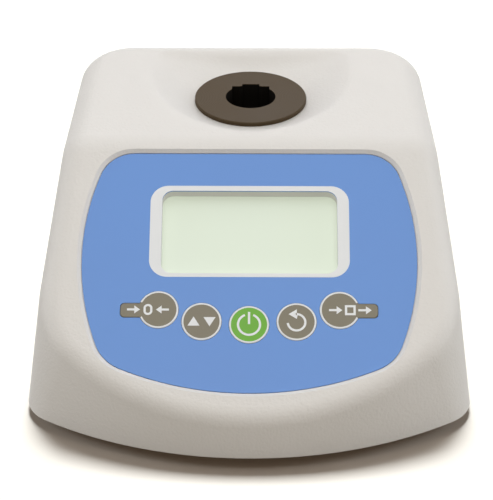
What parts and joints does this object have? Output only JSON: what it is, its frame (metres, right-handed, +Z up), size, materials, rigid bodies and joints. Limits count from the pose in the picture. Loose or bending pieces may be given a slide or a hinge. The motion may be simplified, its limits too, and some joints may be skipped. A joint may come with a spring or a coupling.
{
  "type": "portable turbidity meter",
  "caption": "Portable bench turbidity meter: drafted wedge housing with a sloping keypad and display, and a flanged sample well in a scooped dish at the rear.",
  "frame": {"origin": "on the surface it stands on, below the middle of its bounding box", "axes": "+Z up, -Y towards the front with the keypad, X across the instrument"},
  "size_m": [0.1422, 0.152, 0.0752],
  "materials": {
    "housing": "fine moulded texture, off-white",
    "base": "moulded, off-white",
    "overlay": "satin printed film, blue",
    "key": "satin, grey-brown",
    "power_key": "satin, green",
    "plunger": "moulded, black",
    "lcd": "pale green reflective display",
    "steel": "plated",
    "light_guide": "milky",
    "circuit_board": "green solder mask",
    "switch_case": "moulded, black",
    "socket": "turned, brown-black",
    "rubber": "matt black",
    "collar": "moulded, black",
    "lamp": "clear epoxy",
    "cells": "plain wrap",
    "chip": "epoxy, black",
    "connector": "moulded, natural",
    "ribbon": "flat cable, grey"
  },
  "bodies": {
    "case": {"upper_housing": "housing", "base_plate": "base", "keypad_overlay": "overlay", "lcd_glass": "lcd", "lcd_bezel": "steel", "lcd_light_guide": "light_guide", "lcd_board": "circuit_board", "lcd_screws": "steel", "switch_board": "circuit_board", "switch_board_screws": "steel", "tactile_switches": "switch_case", "sample_socket": "socket", "socket_seal": "rubber", "socket_nut": "socket", "well_pad": "rubber", "cuvette_spring": "steel", "optics_collar": "collar", "optics_screws": "steel", "emitter_led": "lamp", "emitter_board": "circuit_board", "detector_photodiode": "lamp", "detector_board": "circuit_board", "battery_cells": "cells", "contact_plates": "steel", "contact_springs": "steel", "rubber_feet": "rubber", "case_screws": "steel", "main_board": "circuit_board", "main_board_screws": "steel", "microcontroller": "chip", "board_capacitors": "chip", "board_connectors": "connector", "display_ribbon": "ribbon", "power_board": "circuit_board", "power_board_screws": "steel", "dc_inlet": "chip"},
    "left_outer_key_body": {"left_outer_key": "key", "left_outer_plunger": "plunger"},
    "left_inner_key_body": {"left_inner_key": "key", "left_inner_plunger": "plunger"},
    "power_key_body": {"power_key": "power_key", "power_plunger": "plunger"},
    "right_inner_key_body": {"right_inner_key": "key", "right_inner_plunger": "plunger"},
    "right_outer_key_body": {"right_outer_key": "key", "right_outer_plunger": "plunger"},
    "battery_door_body": {"battery_door": "base"}
  },
  "joints": [
    {"name": "left_outer_key_press", "type": "slide", "parent": "case", "child": "left_outer_key_body", "axis": [0, 0.565, -0.8251], "range_m": [0, 0.0004], "stiffness_N_per_m": 4000, "springref_m": -0.0003},
    {"name": "left_inner_key_press", "type": "slide", "parent": "case", "child": "left_inner_key_body", "axis": [0, 0.565, -0.8251], "range_m": [0, 0.0004], "stiffness_N_per_m": 4000, "springref_m": -0.0003},
    {"name": "power_key_press", "type": "slide", "parent": "case", "child": "power_key_body", "axis": [0, 0.565, -0.8251], "range_m": [0, 0.0004], "stiffness_N_per_m": 4000, "springref_m": -0.0003},
    {"name": "right_inner_key_press", "type": "slide", "parent": "case", "child": "right_inner_key_body", "axis": [0, 0.565, -0.8251], "range_m": [0, 0.0004], "stiffness_N_per_m": 4000, "springref_m": -0.0003},
    {"name": "right_outer_key_press", "type": "slide", "parent": "case", "child": "right_outer_key_body", "axis": [0, 0.565, -0.8251], "range_m": [0, 0.0004], "stiffness_N_per_m": 4000, "springref_m": -0.0003},
    {"name": "battery_door_swing", "type": "hinge", "parent": "case", "child": "battery_door_body", "pos_m": [0, -0.035, 0.0049], "axis": [-1, 0, 0], "range_deg": [0, 80]}
  ]
}
